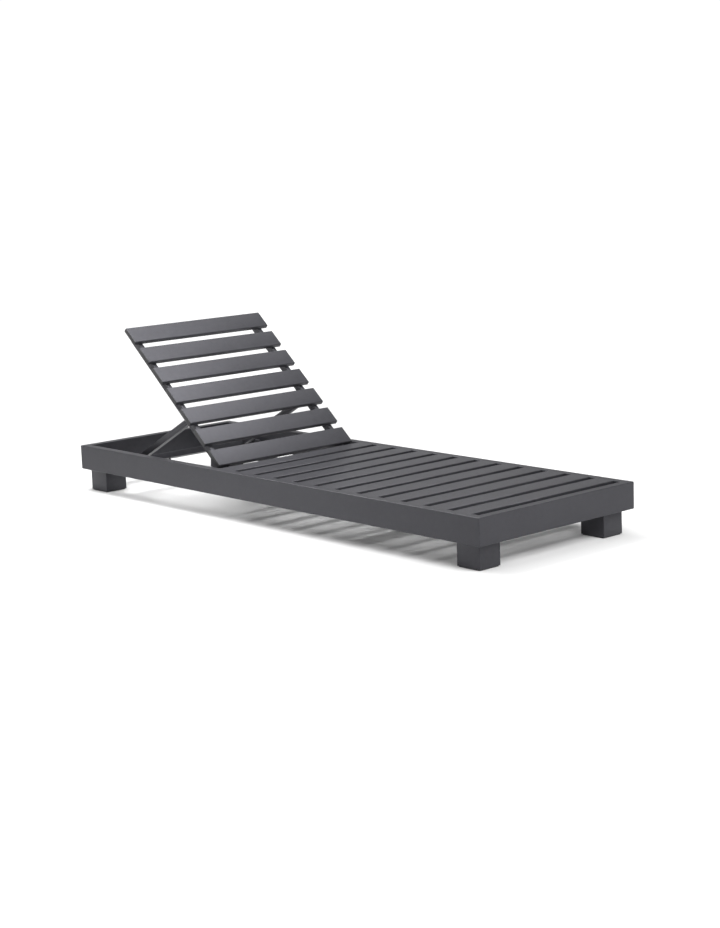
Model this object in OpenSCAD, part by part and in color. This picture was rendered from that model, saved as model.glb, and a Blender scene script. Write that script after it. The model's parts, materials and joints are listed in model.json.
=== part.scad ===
// Reclining sun lounger: a welded box frame on four block legs, a slatted seat,
// a slatted backrest on two hinge bolts, and a U-shaped prop that holds the backrest up.
// +Y points to the head end, +Z is up, and the floor is at z = 0. Sizes are in mm.
// The prop's end pins stand in the notches of two racks. The linkage is opened there:
// the pins stop just short of the rack plates.

/* [Frame] */
// Overall length of the frame
frame_l = 2000; // [1800:10:2200]
// Overall width of the frame
frame_w = 680; // [600:5:800]
// Height of the frame's top face above the floor
frame_top = 164; // [150:1:350]
// Height of the frame rails
rail_h = 85; // [70:1:100]
// Thickness of the frame rails
rail_t = 30; // [26:1:34]
// Chamfer on the rails' long edges
rail_chamfer = 1.5; // [0.5:0.5:3]

/* [Legs] */
// Width of the leg blocks, across the lounger
leg_w = 86; // [70:1:95]
// Length of the leg blocks, along the lounger
leg_l = 93.5; // [85:0.5:98]
// Distance from the sides and the foot end to the legs' outer faces
leg_inset = 26.5; // [20:0.5:30]
// Distance from the head end to the head legs' outer faces
head_inset = 19; // [12:0.5:19]
// Height of the legs' tops above the floor
leg_top = 101; // [95:1:104]
// Thickness of the plastic glides under the legs
glide_t = 3; // [2:0.5:6]

/* [Seat] */
// Number of seat slats
seat_slats = 12; // [12:1:12]
// Width of one seat slat
seat_slat_w = 73; // [66:0.5:78]
// Distance between the seat slats' centres
seat_pitch = 99.1; // [98:0.1:100]
// Thickness of the seat slats
seat_slat_t = 20; // [15:1:22]
// Gap between the foot rail and the first seat slat
foot_gap = 28; // [18:0.5:32]

/* [Backrest] */
// Angle of the raised backrest above the seat
rest_angle = 41; // [35:1:50]
// Distance from the frame's middle to the hinge axis, toward the head
hinge_y = 248; // [245:0.5:250]
// Number of backrest slats
back_slats = 7; // [7:1:7]
// Width of one backrest slat
back_slat_w = 69.5; // [60:0.5:72]
// Distance between the backrest slats' centres
back_pitch = 97.6; // [95:0.1:98]
// Thickness of the backrest slats
back_slat_t = 16; // [12:0.5:16.5]
// Length of the backrest slats
back_slat_l = 593; // [580:1:600]
// Distance from the hinge axis to the lowest slat's edge, along the backrest
first_slat = 18.1; // [17:0.1:20]
// Width of the two stiles under the slats
stile_w = 16; // [14:1:18]
// Depth of the two stiles under the slats
stile_h = 25; // [22:1:28]
// Distance from the middle to each stile's inner face
stile_in = 258; // [252:1:260]
// Distance from the hinge axis to the stiles' upper ends
stile_end = 641.5; // [630:0.5:644]

/* [Prop] */
// Distance from the hinge axis to the prop's pivot, along the stile
prop_pivot = 255.6; // [248:0.1:262]
// Length of the prop from its pivot to the middle of its crossbar
prop_len = 399.7; // [396:0.1:404]
// Slope of the prop's arms below level
prop_angle = 28.2; // [26:0.1:30]
// Width of the prop's arms, across the lounger
arm_w = 20; // [16:1:22]
// Depth of the prop's arms and crossbar
arm_h = 21; // [18:1:22]
// Gap between each arm and the stile beside it
arm_gap = 3; // [3:0.5:5]
// Degrees that the arms drop for each degree that the backrest rises
prop_share = 0.62; // [0.6:0.01:0.68]
// Backrest angles that the rack notches hold
notch_angles = [22, 32, 41, 49, 56, 63];

/* [Hidden] */
$fn = 48;
wall = 2;
thin_wall = 1.6;

inner_x = frame_w / 2 - rail_t;
inner_y = frame_l / 2 - rail_t;
rail_mid = frame_top - rail_h / 2;
rail_foot = frame_top - rail_h;
leg_x = frame_w / 2 - leg_inset - leg_w / 2;
foot_leg_y = frame_l / 2 - leg_inset - leg_l / 2;
head_leg_y = frame_l / 2 - head_inset - leg_l / 2;

seat_start = -inner_y + foot_gap;
seat_end = seat_start + (seat_slats - 1) * seat_pitch + seat_slat_w;
seat_under = frame_top - seat_slat_t;
seat_chamfer = 1;
bearer = 20;
beam = 30;
beam_y = 191;
spine_end = 440;
buffer_y = 415;
buffer_r = 9;

hinge_z = frame_top - stile_h / 2 - back_slat_t;
bolt_r = 5;
bolt_clear = 0.08;
lug_t = 7;
lug_r = 18;
lug_in = 242;
leaf_t = 8;
leaf_r = 20;
leaf_nose_r = 24.5;
leaf_nose_y = 4.7;
leaf_l = 60;
stile_out = stile_in + stile_w;
slat_low = stile_h / 2;
back_chamfer = 1.8;
cap_t = 2;

arm_out = stile_in - arm_gap;
arm_in = arm_out - arm_w;
pivot_r = 4;
washer_t = 2.5;
pin_r = 8;
pin_end = 289.5;
stud_x = 105;
stud_r = 3;
stud_l = 10;

rack_in = pin_end + 0.8;
rack_t = 8;
notch_r = 8.7;
rack_rise = 7;
rack_foot = rail_foot + 1.5;
rack_low_y = 640;
rack_high_y = 884;

metal = "#4a4b4e";
dark = "#3a3a3d";
plastic = "#1e1e20";
steel = "#8a8c90";

// ---- shared shapes ----

// A box with its four long edges chamfered, standing on z = 0
module chamfered(a, b, c, l) {
    linear_extrude(height = l)
        polygon([
            [-a / 2 + c, -b / 2], [a / 2 - c, -b / 2], [a / 2, -b / 2 + c], [a / 2, b / 2 - c],
            [a / 2 - c, b / 2], [-a / 2 + c, b / 2], [-a / 2, b / 2 - c], [-a / 2, -b / 2 + c]
        ]);
}

// A closed hollow profile, standing on z = 0
module profile(a, b, c, l, t) {
    difference() {
        chamfered(a, b, c, l);
        translate([-a / 2 + t, -b / 2 + t, t])
            cube([a - 2 * t, b - 2 * t, l - 2 * t]);
    }
}

// A hollow profile along Y: w across, h high, from y0 to y1
module profile_y(w, h, c, y0, y1, t) {
    translate([0, y0, 0])
        rotate([-90, 0, 0])
            profile(w, h, c, y1 - y0, t);
}

// A hollow profile along X, centred: d deep along Y, h high
module profile_x(d, h, c, l, t) {
    translate([-l / 2, 0, 0])
        rotate([0, 90, 0])
            profile(h, d, c, l, t);
}

// A cylinder along X from x0 to x1
module rod_x(r, x0, x1) {
    translate([x0, 0, 0])
        rotate([0, 90, 0])
            cylinder(r = r, h = x1 - x0);
}

// A hexagon along X from x0 to x1, across its corners 2 r
module hex_x(r, x0, x1) {
    translate([x0, 0, 0])
        rotate([0, 90, 0])
            cylinder(r = r, h = x1 - x0, $fn = 6);
}

// Puts a right-hand part on the left when side is -1
module side_of(side) {
    if (side > 0) children();
    else mirror([1, 0, 0]) children();
}

// The backrest's own axes: hinge at the origin, +Y up along the stiles, +Z to the sitter
module on_backrest() {
    translate([0, hinge_y, hinge_z])
        rotate([rest_angle, 0, 0])
            children();
}

// The prop's own axes: pivot at the origin, +Y down along the arms
module on_prop() {
    translate([0, hinge_y + prop_pivot * cos(rest_angle), hinge_z + prop_pivot * sin(rest_angle)])
        rotate([-prop_angle, 0, 0])
            children();
}

// Where the crossbar's middle stands when the backrest is at angle a
function prop_drop(a) = prop_angle + prop_share * (a - rest_angle);
function bar_y(a) = hinge_y + prop_pivot * cos(a) + prop_len * cos(prop_drop(a));
function bar_z(a) = hinge_z + prop_pivot * sin(a) - prop_len * sin(prop_drop(a));

// ---- frame ----

module side_rail(side) {
    color(metal)
        translate([side * (frame_w - rail_t) / 2, 0, rail_mid])
            profile_y(rail_t, rail_h, rail_chamfer, -frame_l / 2, frame_l / 2, wall);
}

module end_rail(side) {
    color(metal)
        translate([0, side * (frame_l - rail_t) / 2, rail_mid])
            profile_x(rail_t, rail_h, rail_chamfer, 2 * inner_x, wall);
}

module side_rail_left() side_rail(-1);
module side_rail_right() side_rail(1);
module head_rail() end_rail(1);
module foot_rail() end_rail(-1);

// Where a leg's middle stands along the frame: sy is 1 at the head end, -1 at the foot end
function leg_mid(sy) = sy > 0 ? head_leg_y : -foot_leg_y;

// A block leg: full size below the rails, trimmed to fit inside the corner above
module leg(sx, sy) {
    color(metal)
        difference() {
            union() {
                translate([sx * leg_x, leg_mid(sy), glide_t])
                    chamfered(leg_w, leg_l, 1.5, rail_foot - glide_t);
                intersection() {
                    translate([sx * leg_x - leg_w / 2, leg_mid(sy) - leg_l / 2, rail_foot - 1])
                        cube([leg_w, leg_l, leg_top - rail_foot + 1]);
                    translate([-inner_x, -inner_y, 0])
                        cube([2 * inner_x, 2 * inner_y, frame_top]);
                }
            }
            intersection() {
                translate([sx * leg_x, leg_mid(sy), (leg_top + glide_t) / 2])
                    cube([leg_w - 4 * wall, leg_l - 4 * wall, leg_top - glide_t - 2 * wall], center = true);
                cube([2 * inner_x - 4 * wall, 2 * inner_y - 4 * wall, 2 * leg_top], center = true);
            }
        }
}

module leg_head_left() leg(-1, 1);
module leg_head_right() leg(1, 1);
module leg_foot_left() leg(-1, -1);
module leg_foot_right() leg(1, -1);

module leg_glides() {
    color(plastic)
        for (sx = [-1, 1], sy = [-1, 1])
            translate([sx * leg_x, leg_mid(sy), 0])
                chamfered(leg_w - 5, leg_l - 5, 4, glide_t);
}

module seat_slat(i) {
    color(metal)
        translate([0, seat_start + (i - 1) * seat_pitch + seat_slat_w / 2, frame_top - seat_slat_t / 2])
            profile_x(seat_slat_w, seat_slat_t, seat_chamfer, 2 * inner_x, thin_wall);
}

module seat_slat_01() seat_slat(1);
module seat_slat_02() seat_slat(2);
module seat_slat_03() seat_slat(3);
module seat_slat_04() seat_slat(4);
module seat_slat_05() seat_slat(5);
module seat_slat_06() seat_slat(6);
module seat_slat_07() seat_slat(7);
module seat_slat_08() seat_slat(8);
module seat_slat_09() seat_slat(9);
module seat_slat_10() seat_slat(10);
module seat_slat_11() seat_slat(11);
module seat_slat_12() seat_slat(12);

// A square tube under the slats' ends
module seat_bearer(side) {
    color(dark)
        translate([side * (inner_x - bearer / 2), 0, seat_under - bearer / 2])
            profile_y(bearer, bearer, 1, -inner_y, seat_end, wall);
}

module seat_bearer_left() seat_bearer(-1);
module seat_bearer_right() seat_bearer(1);

// The middle tube under the slats, carried on past the hinge to hold the flat backrest
module seat_spine() {
    color(dark)
        translate([0, 0, seat_under - bearer / 2])
            profile_y(bearer, bearer, 1, -inner_y, spine_end, wall);
}

module spine_cap() {
    color(plastic)
        translate([0, spine_end, seat_under - bearer / 2])
            rotate([-90, 0, 0])
                chamfered(bearer, bearer, 1, cap_t);
}

module rest_buffer() {
    color(plastic)
        translate([0, buffer_y, seat_under])
            cylinder(r = buffer_r, h = hinge_z + slat_low - seat_under - 0.6);
}

module under_beam(y) {
    color(dark)
        translate([0, y, seat_under - bearer - beam / 2])
            profile_x(beam, beam, 1.5, 2 * inner_x, wall);
}

module hinge_beam() under_beam(beam_y);
module cross_beam() under_beam(-385);

// ---- hinge ----

// A plate from the hinge beam up to the bolt
module hinge_lug(side) {
    beam_face = beam_y + beam / 2;
    beam_top = seat_under - bearer;
    color(dark)
        side_of(side)
            difference() {
                union() {
                    translate([0, hinge_y, hinge_z])
                        rod_x(lug_r, lug_in, lug_in + lug_t);
                    translate([lug_in, 0, 0])
                        rotate([90, 0, 90])
                            linear_extrude(height = lug_t)
                                polygon([
                                    [beam_face, beam_top - beam + 3], [beam_face + 22, beam_top - beam + 3],
                                    [hinge_y + 17.5, hinge_z - 4.2], [hinge_y, hinge_z],
                                    [hinge_y - 10, hinge_z + 14.9], [beam_face, beam_top]
                                ]);
                }
                translate([0, hinge_y, hinge_z])
                    rod_x(bolt_r, lug_in - 1, lug_in + lug_t + 1);
            }
}

module hinge_lug_left() hinge_lug(-1);
module hinge_lug_right() hinge_lug(1);

module hinge_bolt(side) {
    color(steel)
        side_of(side)
            translate([0, hinge_y, hinge_z]) {
                hex_x(9, lug_in - 6, lug_in);
                rod_x(bolt_r, lug_in - 1, stile_out + 7);
                hex_x(9, stile_out + 0.6, stile_out + 6);
            }
}

module hinge_bolt_left() hinge_bolt(-1);
module hinge_bolt_right() hinge_bolt(1);

// ---- racks ----

// A notched plate on two pads. Its upper edge follows the path of the crossbar.
module rack(side) {
    color(dark)
        side_of(side)
            difference() {
                union() {
                    translate([rack_in, 0, 0])
                        rotate([90, 0, 90])
                            linear_extrude(height = rack_t)
                                polygon([
                                    [rack_low_y, rack_foot], [rack_high_y, rack_foot],
                                    [rack_high_y, bar_z(18) + rack_rise], [bar_y(32), bar_z(32) + rack_rise],
                                    [bar_y(41), bar_z(41) + rack_rise], [bar_y(49), bar_z(49) + rack_rise],
                                    [bar_y(56), bar_z(56) + rack_rise], [rack_low_y, bar_z(65) + rack_rise]
                                ]);
                    for (a = [27, 59.5])
                        translate([rack_in + rack_t - 1, bar_y(a) - 9, rack_foot])
                            cube([inner_x - rack_in - rack_t + 1, 18, 12]);
                }
                for (a = notch_angles)
                    translate([0, bar_y(a), bar_z(a)]) {
                        rod_x(notch_r, rack_in - 1, rack_in + rack_t + 1);
                        translate([rack_in - 1, -notch_r, 0])
                            cube([rack_t + 2, 2 * notch_r, 30]);
                    }
            }
}

module rack_left() rack(-1);
module rack_right() rack(1);

module rack_screws() {
    color(steel)
        for (side = [-1, 1], a = [27, 59.5])
            side_of(side)
                translate([0, bar_y(a), rack_foot + 6])
                    rod_x(4, rack_in - 2.5, rack_in);
}

// ---- backrest ----

module stile(side) {
    color(metal)
        side_of(side)
            on_backrest()
                difference() {
                    union() {
                        rod_x(stile_h / 2, stile_in, stile_out);
                        translate([stile_in, 0, -stile_h / 2])
                            cube([stile_w, stile_end, stile_h]);
                    }
                    rod_x(bolt_r + bolt_clear, stile_in - 1, stile_out + 1);
                    translate([0, prop_pivot, 0])
                        rod_x(pivot_r, stile_in - 1, stile_out + 1);
                    translate([stile_in + wall, 30, -stile_h / 2 + wall])
                        cube([stile_w - 2 * wall, prop_pivot - 50, stile_h - 2 * wall]);
                    translate([stile_in + wall, prop_pivot + 20, -stile_h / 2 + wall])
                        cube([stile_w - 2 * wall, stile_end - prop_pivot - 22, stile_h - 2 * wall]);
                }
}

module stile_left() stile(-1);
module stile_right() stile(1);

module stile_caps() {
    color(plastic)
        for (side = [-1, 1])
            side_of(side)
                on_backrest()
                    translate([stile_in, stile_end, -stile_h / 2])
                        cube([stile_w, cap_t, stile_h]);
}

// The eye plate welded to the inner face of each stile
module hinge_leaf(side) {
    color(dark)
        side_of(side)
            on_backrest()
                difference() {
                    union() {
                        rod_x(leaf_r, stile_in - leaf_t, stile_in);
                        intersection() {
                            rod_x(leaf_nose_r, stile_in - leaf_t, stile_in);
                            translate([0, leaf_nose_y, 0])
                                cube([frame_w, 30, 30]);
                        }
                        translate([stile_in - leaf_t, 0, -stile_h / 2])
                            cube([leaf_t, leaf_l, stile_h]);
                    }
                    rod_x(bolt_r + bolt_clear, stile_in - leaf_t - 1, stile_in + 1);
                    translate([0, first_slat, slat_low])
                        cube([frame_w, leaf_l, 30]);
                }
}

module hinge_leaf_left() hinge_leaf(-1);
module hinge_leaf_right() hinge_leaf(1);

// Slat 1 is the lowest
function slat_mid(i) = first_slat + (i - 1) * back_pitch + back_slat_w / 2;

module back_slat(i) {
    color(metal)
        on_backrest()
            translate([0, slat_mid(i), slat_low + back_slat_t / 2])
                profile_x(back_slat_w, back_slat_t, back_chamfer, back_slat_l - 2 * cap_t, thin_wall);
}

module back_slat_1() back_slat(1);
module back_slat_2() back_slat(2);
module back_slat_3() back_slat(3);
module back_slat_4() back_slat(4);
module back_slat_5() back_slat(5);
module back_slat_6() back_slat(6);
module back_slat_7() back_slat(7);

module back_slat_caps() {
    color(plastic)
        on_backrest()
            for (side = [-1, 1], i = [1 : back_slats])
                side_of(side)
                    translate([back_slat_l / 2 - cap_t, slat_mid(i), slat_low + back_slat_t / 2])
                        rotate([0, 90, 0])
                            chamfered(back_slat_t, back_slat_w, back_chamfer, cap_t);
}

// One screw head under each slat. The top one sits lower, because the stile ends there.
module back_slat_screws() {
    color(steel)
        on_backrest()
            for (side = [-1, 1], i = [1 : back_slats])
                side_of(side)
                    translate([stile_in + stile_w / 2, min(slat_mid(i), stile_end - 12), -stile_h / 2 - 2.5])
                        cylinder(r = 4.5, h = 2.5);
}

// ---- prop ----

module pivot_bolt(side) {
    color(steel)
        side_of(side)
            on_backrest()
                translate([0, prop_pivot, 0]) {
                    hex_x(8, stile_out, stile_out + 5);
                    rod_x(pivot_r, arm_in - 7, stile_out + 1);
                    hex_x(8, arm_in - 6, arm_in - 0.6);
                }
}

module pivot_bolt_left() pivot_bolt(-1);
module pivot_bolt_right() pivot_bolt(1);

module pivot_washers() {
    color(steel)
        for (side = [-1, 1])
            side_of(side)
                on_backrest()
                    translate([0, prop_pivot, 0])
                        difference() {
                            rod_x(9, stile_in - washer_t, stile_in);
                            rod_x(pivot_r, stile_in - washer_t - 1, stile_in + 1);
                        }
}

module prop_arm(side) {
    color(metal)
        side_of(side)
            on_prop()
                difference() {
                    union() {
                        rod_x(arm_h / 2, arm_in, arm_out);
                        translate([arm_in, 0, -arm_h / 2])
                            cube([arm_w, prop_len - arm_h / 2, arm_h]);
                    }
                    rod_x(pivot_r + bolt_clear, arm_in - 1, arm_out + 1);
                    translate([arm_in + wall, 22, -arm_h / 2 + wall])
                        cube([arm_w - 2 * wall, prop_len - arm_h / 2 - 24, arm_h - 2 * wall]);
                }
}

module prop_arm_left() prop_arm(-1);
module prop_arm_right() prop_arm(1);

module prop_crossbar() {
    color(metal)
        on_prop()
            translate([0, prop_len, 0])
                profile_x(arm_h, arm_h, 1, 2 * arm_out, wall);
}

// A nylon pin in each end of the crossbar
module prop_pin(side) {
    color(plastic)
        side_of(side)
            on_prop()
                translate([0, prop_len, 0])
                    rod_x(pin_r, arm_out, pin_end);
}

module prop_pin_left() prop_pin(-1);
module prop_pin_right() prop_pin(1);

// Two small rubber studs under the crossbar
module prop_studs() {
    color(plastic)
        on_prop()
            for (side = [-1, 1])
                translate([side * stud_x, prop_len - 4, -arm_h / 2 - stud_l])
                    cylinder(r = stud_r, h = stud_l);
}

// ---- drawing ----

side_rail_left();
side_rail_right();
head_rail();
foot_rail();
leg_head_left();
leg_head_right();
leg_foot_left();
leg_foot_right();
leg_glides();
seat_slat_01();
seat_slat_02();
seat_slat_03();
seat_slat_04();
seat_slat_05();
seat_slat_06();
seat_slat_07();
seat_slat_08();
seat_slat_09();
seat_slat_10();
seat_slat_11();
seat_slat_12();
seat_bearer_left();
seat_bearer_right();
seat_spine();
spine_cap();
rest_buffer();
hinge_beam();
cross_beam();
hinge_lug_left();
hinge_lug_right();
hinge_bolt_left();
hinge_bolt_right();
rack_left();
rack_right();
rack_screws();
stile_left();
stile_right();
stile_caps();
hinge_leaf_left();
hinge_leaf_right();
back_slat_1();
back_slat_2();
back_slat_3();
back_slat_4();
back_slat_5();
back_slat_6();
back_slat_7();
back_slat_caps();
back_slat_screws();
pivot_bolt_left();
pivot_bolt_right();
pivot_washers();
prop_arm_left();
prop_arm_right();
prop_crossbar();
prop_pin_left();
prop_pin_right();
prop_studs();
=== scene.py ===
"""Reclining sun lounger in powder coated aluminium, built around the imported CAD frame.

Rails, slats, legs, stiles and the prop get rounded edges, and every surface gets a
procedural material. Lengths are in metres, +Y points to the head end, the floor is z = 0.
"""

import json
import math

import bmesh
import bpy
from mathutils import Matrix, Vector


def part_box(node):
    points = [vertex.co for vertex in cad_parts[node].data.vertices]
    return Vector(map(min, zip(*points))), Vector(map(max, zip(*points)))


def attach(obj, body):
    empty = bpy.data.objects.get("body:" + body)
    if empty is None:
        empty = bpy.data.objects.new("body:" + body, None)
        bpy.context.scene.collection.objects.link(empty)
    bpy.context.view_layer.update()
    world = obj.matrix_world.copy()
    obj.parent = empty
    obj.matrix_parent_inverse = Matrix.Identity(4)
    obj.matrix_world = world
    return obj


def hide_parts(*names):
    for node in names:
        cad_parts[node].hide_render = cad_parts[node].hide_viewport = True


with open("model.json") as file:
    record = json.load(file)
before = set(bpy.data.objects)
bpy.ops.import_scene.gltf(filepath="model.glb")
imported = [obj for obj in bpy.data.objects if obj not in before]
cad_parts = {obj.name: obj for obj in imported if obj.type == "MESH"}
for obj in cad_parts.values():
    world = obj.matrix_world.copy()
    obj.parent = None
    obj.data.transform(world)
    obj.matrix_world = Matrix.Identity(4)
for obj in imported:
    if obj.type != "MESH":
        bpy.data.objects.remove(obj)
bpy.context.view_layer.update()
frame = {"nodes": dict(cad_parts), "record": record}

MM = 0.001
NODES = frame["nodes"]
BODIES = frame["record"]["behaviour"]["bodies"]
SLOT_OF = {s["node"]: s["material_slot"] for s in frame["record"]["subparts"]}


# ---- materials ----


def new_material(name):
    """An empty material with a Principled shader; returns (material, tree, shader)."""
    mat = bpy.data.materials.new(name)
    mat.use_nodes = True
    tree = mat.node_tree
    tree.nodes.clear()
    out = tree.nodes.new("ShaderNodeOutputMaterial")
    shader = tree.nodes.new("ShaderNodeBsdfPrincipled")
    tree.links.new(shader.outputs["BSDF"], out.inputs["Surface"])
    return mat, tree, shader


def noise(tree, scale, detail=2.0, roughness=0.5):
    """A noise texture in object space, which is the row frame at rest."""
    coord = tree.nodes.new("ShaderNodeTexCoord")
    tex = tree.nodes.new("ShaderNodeTexNoise")
    tex.inputs["Scale"].default_value = scale
    tex.inputs["Detail"].default_value = detail
    tex.inputs["Roughness"].default_value = roughness
    tree.links.new(coord.outputs["Object"], tex.inputs["Vector"])
    return tex.outputs["Fac"]


def spread(tree, value, low, high, from_low=0.3, from_high=0.7):
    """Stretches a noise value to run from low to high."""
    node = tree.nodes.new("ShaderNodeMapRange")
    node.inputs["From Min"].default_value = from_low
    node.inputs["From Max"].default_value = from_high
    node.inputs["To Min"].default_value = low
    node.inputs["To Max"].default_value = high
    tree.links.new(value, node.inputs["Value"])
    return node.outputs["Result"]


def mix(tree, share, a, b):
    """Mixes two colours; each is a colour or an output socket."""
    node = tree.nodes.new("ShaderNodeMix")
    node.data_type = "RGBA"
    tree.links.new(share, node.inputs["Factor"])
    for socket, value in ((node.inputs["A"], a), (node.inputs["B"], b)):
        if isinstance(value, tuple):
            socket.default_value = (*value, 1.0)
        else:
            tree.links.new(value, socket)
    return node.outputs["Result"]


def edge_share(tree, low=0.52, high=0.62):
    """Runs from 0 on flat faces to 1 on outward edges."""
    geometry = tree.nodes.new("ShaderNodeNewGeometry")
    return spread(tree, geometry.outputs["Pointiness"], 0.0, 1.0, low, high)


def times(tree, a, b):
    node = tree.nodes.new("ShaderNodeMath")
    node.operation = "MULTIPLY"
    tree.links.new(a, node.inputs[0])
    tree.links.new(b, node.inputs[1])
    return node.outputs["Value"]


def bump(tree, height, distance, strength, below=None):
    node = tree.nodes.new("ShaderNodeBump")
    node.inputs["Distance"].default_value = distance
    node.inputs["Strength"].default_value = strength
    tree.links.new(height, node.inputs["Height"])
    if below:
        tree.links.new(below, node.inputs["Normal"])
    return node.outputs["Normal"]


def powder_coat(name, dark, light, worn_and_highlight, rough=(0.36, 0.48), grain=1100.0):
    """Matt fine-texture powder coat: sandy grain, faint tone drift, outward edges painted lighter,
    partly as rubbed wear and partly as a painted highlight.
    """
    mat, tree, shader = new_material(name)
    drift = spread(tree, noise(tree, 5.0, 3.0), 0.0, 1.0)
    speck = spread(tree, noise(tree, grain, 2.0, 0.7), 0.0, 1.0)
    tone = mix(tree, drift, dark, light)
    # Outward edges mix towards a lighter colour: partly rubbed wear, partly a painted highlight where
    # edges would catch the light.
    rub_and_highlight = times(tree, edge_share(tree), spread(tree, noise(tree, 60.0, 4.0, 0.7), 0.2, 1.0))
    tree.links.new(mix(tree, rub_and_highlight, tone, worn_and_highlight), shader.inputs["Base Color"])
    tree.links.new(spread(tree, speck, *rough, 0.0, 1.0), shader.inputs["Roughness"])
    peel = bump(tree, noise(tree, 240.0, 1.0), 0.0002, 0.12)
    tree.links.new(bump(tree, speck, 0.0001, 0.3, peel), shader.inputs["Normal"])
    shader.inputs["IOR"].default_value = 1.44
    shader.inputs["Specular Tint"].default_value = (0.91, 0.90, 1.0, 1.0)
    return mat


def moulded(name, dark, light, rough):
    """Moulded plastic or rubber with a fine spark-eroded grain."""
    mat, tree, shader = new_material(name)
    tone = mix(tree, spread(tree, noise(tree, 40.0, 3.0), 0.0, 1.0), dark, light)
    tree.links.new(tone, shader.inputs["Base Color"])
    grain = noise(tree, 1800.0, 1.0)
    tree.links.new(spread(tree, grain, *rough), shader.inputs["Roughness"])
    tree.links.new(bump(tree, grain, 0.0001, 0.35), shader.inputs["Normal"])
    return mat


def zinc(name):
    """Zinc-plated steel: soft grey, faintly blotched, with fine scratches."""
    mat, tree, shader = new_material(name)
    blotch = spread(tree, noise(tree, 300.0, 4.0, 0.7), 0.0, 1.0)
    tone = mix(tree, blotch, (0.30, 0.31, 0.33), (0.46, 0.46, 0.45))
    tree.links.new(mix(tree, edge_share(tree), tone, (0.6, 0.6, 0.6)), shader.inputs["Base Color"])
    tree.links.new(spread(tree, blotch, 0.32, 0.5, 0.0, 1.0), shader.inputs["Roughness"])
    tree.links.new(bump(tree, noise(tree, 900.0, 2.0), 0.0001, 0.15), shader.inputs["Normal"])
    shader.inputs["Metallic"].default_value = 1.0
    return mat


MATERIALS = {
    # The third colour is the lighter edge colour: rubbed wear together with a painted edge highlight.
    "powder_coated_aluminium": powder_coat(
        "charcoal_powder_coat", (0.014, 0.014, 0.016), (0.018, 0.018, 0.0205), (0.060, 0.060, 0.066)
    ),
    "black_plastic": moulded("black_nylon", (0.012, 0.012, 0.013), (0.018, 0.018, 0.020), (0.42, 0.58)),
    "black_rubber": moulded("black_rubber", (0.010, 0.010, 0.010), (0.016, 0.015, 0.015), (0.68, 0.82)),
    "steel_fasteners": zinc("zinc_plated_steel"),
}


# ---- pieces ----

BEVEL_SEGMENTS = 3
BEVEL_FROM_ANGLE = 25
WELD_DISTANCE = 1e-6


def body_of(node):
    return next(b for b, members in BODIES.items() if node in members)


def finish_piece(obj, nodes, rounding):
    """Rounds the piece's edges, gives it its material, and lets it stand for CAD nodes."""
    for face in obj.data.polygons:
        face.use_smooth = True
    if rounding:
        bevel = obj.modifiers.new("rounding", "BEVEL")
        bevel.width = rounding
        bevel.segments = BEVEL_SEGMENTS
        bevel.limit_method = "ANGLE"
        bevel.angle_limit = math.radians(BEVEL_FROM_ANGLE)
        bevel.harden_normals = True
    slot = SLOT_OF[nodes[0]]
    obj.data.materials.clear()
    obj.data.materials.append(MATERIALS[slot])
    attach(obj, body_of(nodes[0]))
    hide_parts(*nodes)
    return obj


def add_mesh(name, bm):
    """A new object from a bmesh, with its normals pointing out."""
    bmesh.ops.recalc_face_normals(bm, faces=bm.faces)
    mesh = bpy.data.meshes.new(name)
    bm.to_mesh(mesh)
    bm.free()
    obj = bpy.data.objects.new(name, mesh)
    bpy.context.scene.collection.objects.link(obj)
    return obj


def islands(bm):
    """The connected groups of vertices."""
    left, groups = set(bm.verts), []
    while left:
        group, frontier = set(), [left.pop()]
        while frontier:
            vert = frontier.pop()
            group.add(vert)
            for edge in vert.link_edges:
                neighbour = edge.other_vert(vert)
                if neighbour in left:
                    left.remove(neighbour)
                    frontier.append(neighbour)
        groups.append(group)
    return groups


def span_of(group):
    low = Vector(min(v.co[i] for v in group) for i in range(3))
    high = Vector(max(v.co[i] for v in group) for i in range(3))
    return low, high


def drop_cavities(bm):
    """Removes closed shells that lie inside another shell."""
    spans = [(g, *span_of(g)) for g in islands(bm)]
    for g, low, high in spans:
        for other, olow, ohigh in spans:
            inside = all(olow[i] < low[i] and high[i] < ohigh[i] for i in range(3))
            if other is not g and inside:
                bmesh.ops.delete(bm, geom=list(g), context="VERTS")
                break


def refined(node, rounding):
    """The CAD node's outer skin as a clean mesh with rounded edges."""
    bm = bmesh.new()
    bm.from_mesh(NODES[node].data)
    bmesh.ops.remove_doubles(bm, verts=bm.verts, dist=WELD_DISTANCE)
    drop_cavities(bm)
    bmesh.ops.dissolve_limit(bm, angle_limit=math.radians(1), verts=bm.verts, edges=bm.edges)
    finish_piece(add_mesh(node + "_skin", bm), [node], rounding)


def rounded_outline(a, b, radius, steps=4):
    """Points round a rectangle from (0, 0) to (a, b) with rounded corners."""
    points = []
    corners = ((a, b, 0), (0, b, 90), (0, 0, 180), (a, 0, 270))
    for x, y, turn in corners:
        cx = min(max(x, radius), a - radius)
        cy = min(max(y, radius), b - radius)
        for k in range(steps + 1):
            t = math.radians(turn + 90 * k / steps)
            points.append((cx + radius * math.cos(t), cy + radius * math.sin(t)))
    return points


def skin_loops(bm, loops):
    """Faces between neighbouring loops of points, and over both ends."""
    rings = [[bm.verts.new(p) for p in loop] for loop in loops]
    count = len(rings[0])
    for first, second in zip(rings, rings[1:]):
        for i in range(count):
            j = (i + 1) % count
            bm.faces.new((first[i], first[j], second[j], second[i]))
    bm.faces.new(rings[0])
    bm.faces.new(rings[-1])


RAIL_ROUNDING = 2.0 * MM
CORNER_ROUNDING = 2.5 * MM
SLAT_ROUNDING = 2.2 * MM


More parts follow.
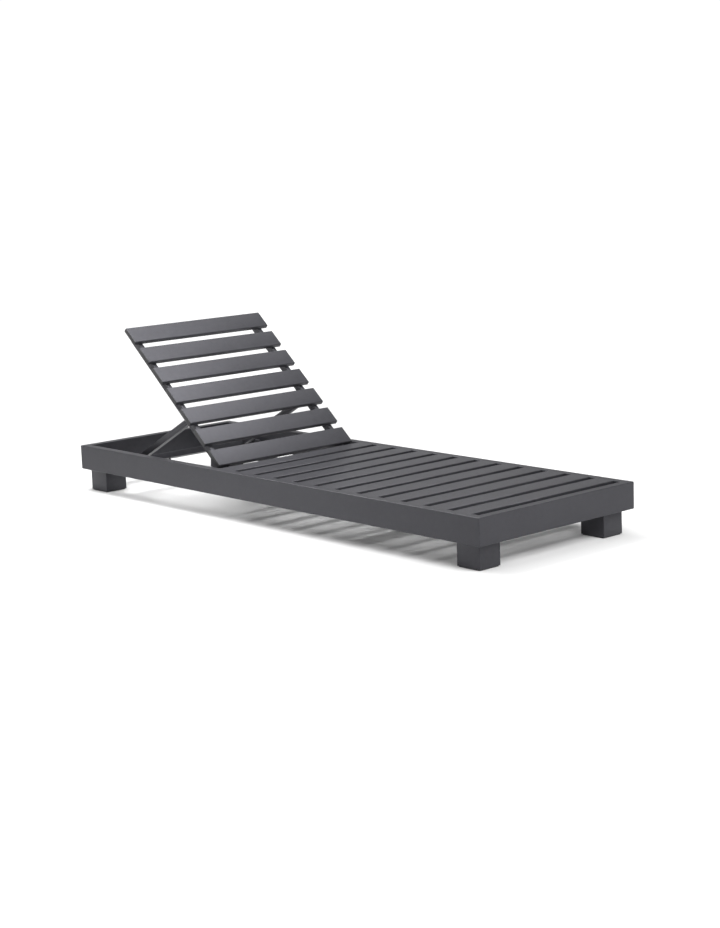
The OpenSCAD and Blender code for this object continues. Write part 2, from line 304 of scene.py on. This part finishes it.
def mitred_rail(node, length_axis):
    """One rail of the frame: rounded edges, ends cut at 45 degrees to meet its neighbours."""
    low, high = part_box(node)
    whole_low, whole_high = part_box("side_rail_left")[0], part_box("side_rail_right")[1]
    depth_axis = 1 - length_axis
    half = whole_high[length_axis]
    outward = 1 if (low + high)[depth_axis] > 0 else -1
    outer = (whole_high if outward > 0 else whole_low)[depth_axis]
    thickness = high[depth_axis] - low[depth_axis]
    outline = rounded_outline(thickness, high.z - low.z, RAIL_ROUNDING)

    def point(along, inset, height):
        p = Vector((0, 0, low.z + height))
        p[length_axis] = along
        p[depth_axis] = outer - outward * inset
        return p

    def loop(turn, end):
        t = math.radians(turn)
        points = []
        for inset, height in outline:
            reach = CORNER_ROUNDING - inset
            if reach > 0:
                along = half - CORNER_ROUNDING + reach * math.sin(t)
                points.append(point(end * along, CORNER_ROUNDING - reach * math.cos(t), height))
            else:
                points.append(point(end * (half - inset), inset, height))
        return points

    turns = [45, 30, 15, 0]
    bm = bmesh.new()
    skin_loops(bm, [loop(t, -1) for t in turns] + [loop(t, 1) for t in reversed(turns)])
    bmesh.ops.remove_doubles(bm, verts=bm.verts, dist=WELD_DISTANCE)
    return finish_piece(add_mesh(node + "_tube", bm), [node], 0)


def seat_slat(node):
    """A slat whose ends run over the rails' rounded edges, as a ground-flush weld does."""
    low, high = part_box(node)
    reach = high.x + RAIL_ROUNDING
    outline = rounded_outline(high.y - low.y, high.z - low.z, SLAT_ROUNDING)
    bm = bmesh.new()
    skin_loops(bm, [[(x, low.y + a, low.z + b) for a, b in outline] for x in (-reach, reach)])
    return finish_piece(add_mesh(node + "_tube", bm), [node], 0)


def weight_normals(obj):
    """Keeps the flat faces flat beside their rounded edges."""
    modifier = obj.modifiers.new("flat_faces", "WEIGHTED_NORMAL")
    modifier.mode = "FACE_AREA"
    modifier.weight = 100
    modifier.keep_sharp = False


for rail, axis in (("side_rail_left", 1), ("side_rail_right", 1), ("head_rail", 0), ("foot_rail", 0)):
    weight_normals(mitred_rail(rail, axis))
for number in range(1, 13):
    weight_normals(seat_slat(f"seat_slat_{number:02d}"))

ROUNDING = {"stile": 1.0, "prop_arm": 1.2, "back_slat": 1.0, "leg_": 0.8}
for name in sorted(NODES):
    if name.startswith(("side_rail", "head_rail", "foot_rail", "seat_slat")):
        continue
    size = next((v for k, v in ROUNDING.items() if name.startswith(k)), 0.4)
    refined(name, size * MM)


# ---- floor, light and camera ----

FLOOR_HALF_SIDE = 60
GLOW_FROM, GLOW_TO = 1.3, 3.5
SKY_BAND = (0.065, 0.19)
CAMERA_PLACE = (-4.0609, -4.6621, 1.2856)
CAMERA_TURNS = (-41.8316, 10.3741, -2.052)
CAMERA_LENS = 73.16
SENSOR_WIDTH = 36


def add_floor():
    """A pale matt floor that glows faintly far out, to fade into the white background."""
    bm = bmesh.new()
    bmesh.ops.create_grid(bm, x_segments=8, y_segments=8, size=FLOOR_HALF_SIDE)
    obj = add_mesh("floor", bm)
    mat, tree, shader = new_material("pale_floor")
    tone = mix(tree, noise(tree, 2.0, 2.0), (0.58, 0.58, 0.58), (0.60, 0.60, 0.60))
    tree.links.new(tone, shader.inputs["Base Color"])
    coord = tree.nodes.new("ShaderNodeTexCoord")
    distance = tree.nodes.new("ShaderNodeVectorMath")
    distance.operation = "LENGTH"
    tree.links.new(coord.outputs["Object"], distance.inputs[0])
    glow = spread(tree, distance.outputs["Value"], 0.02, 0.60, GLOW_FROM, GLOW_TO)
    tree.links.new(glow, shader.inputs["Emission Strength"])
    shader.inputs["Roughness"].default_value = 0.9
    shader.inputs["Specular IOR Level"].default_value = 0.1
    shader.inputs["Emission Color"].default_value = (1, 1, 1, 1)
    obj.data.materials.append(mat)


def add_area(name, place, aim, size, power):
    """A rectangular softbox that lights the scene but doesn't show in the picture."""
    light = bpy.data.lights.new(name, "AREA")
    light.shape = "RECTANGLE"
    light.size, light.size_y = size
    light.energy = power
    obj = bpy.data.objects.new(name, light)
    obj.location = place
    obj.rotation_euler = (Vector(aim) - Vector(place)).to_track_quat("-Z", "Y").to_euler()
    obj.visible_camera = False
    bpy.context.scene.collection.objects.link(obj)


def add_world(horizon, ceiling):
    """White round the horizon, dimmer overhead, as in a studio with a bright cyclorama."""
    world = bpy.data.worlds.new("studio")
    bpy.context.scene.world = world
    world.use_nodes = True
    tree = world.node_tree
    coord = tree.nodes.new("ShaderNodeTexCoord")
    axes = tree.nodes.new("ShaderNodeSeparateXYZ")
    tree.links.new(coord.outputs["Generated"], axes.inputs["Vector"])
    fade = spread(tree, axes.outputs["Z"], horizon, ceiling, *SKY_BAND)
    background = tree.nodes["Background"]
    background.inputs["Color"].default_value = (1, 1, 1, 1)
    tree.links.new(fade, background.inputs["Strength"])


def add_dome(power, spread_angle):
    """One wide light from straight above, the same all over the floor."""
    light = bpy.data.lights.new("ceiling_light", "SUN")
    light.energy = power
    light.angle = math.radians(spread_angle)
    bpy.context.scene.collection.objects.link(bpy.data.objects.new("ceiling_light", light))


def add_camera():
    """The camera of the main view: where it stands, and its heading, tilt and roll."""
    heading, tilt, roll = (math.radians(v) for v in CAMERA_TURNS)
    back = Vector(
        (math.sin(heading) * math.cos(tilt), -math.cos(heading) * math.cos(tilt), math.sin(tilt))
    )
    level = Vector((math.cos(heading), math.sin(heading), 0))
    upright = back.cross(level)
    right = level * math.cos(roll) + upright * math.sin(roll)
    up = upright * math.cos(roll) - level * math.sin(roll)
    turn = Matrix((right, up, back)).transposed().to_4x4()
    data = bpy.data.cameras.new("camera")
    data.lens = CAMERA_LENS
    data.sensor_width = SENSOR_WIDTH
    data.clip_end = 200
    obj = bpy.data.objects.new("camera", data)
    obj.matrix_world = Matrix.Translation(CAMERA_PLACE) @ turn
    bpy.context.scene.collection.objects.link(obj)
    bpy.context.scene.camera = obj


add_floor()
add_world(1.05, 0.12)
add_dome(2.5, 90)
add_area("overhead_softbox", (-0.4, 0.0, 1.6), (-0.2, 0.0, 0.0), (0.7, 2.4), 33)
add_area("foot_softbox", (-0.1, -2.5, 1.7), (0.0, -0.9, 0.1), (2.2, 1.4), 66)
add_area("head_softbox", (-0.35, 1.0, 1.4), (-0.1, 0.65, 0.45), (0.7, 0.8), 24)
add_area("left_card", (-0.9, 1.3, 2.2), (-0.3, 0.6, 0.2), (1.6, 1.6), 16)
add_area("backdrop_card", (2.7, 3.0, 0.9), (0.0, 0.0, 0.15), (4.0, 1.0), 3.5)
add_camera()
bpy.context.scene.view_settings.view_transform = "Standard"
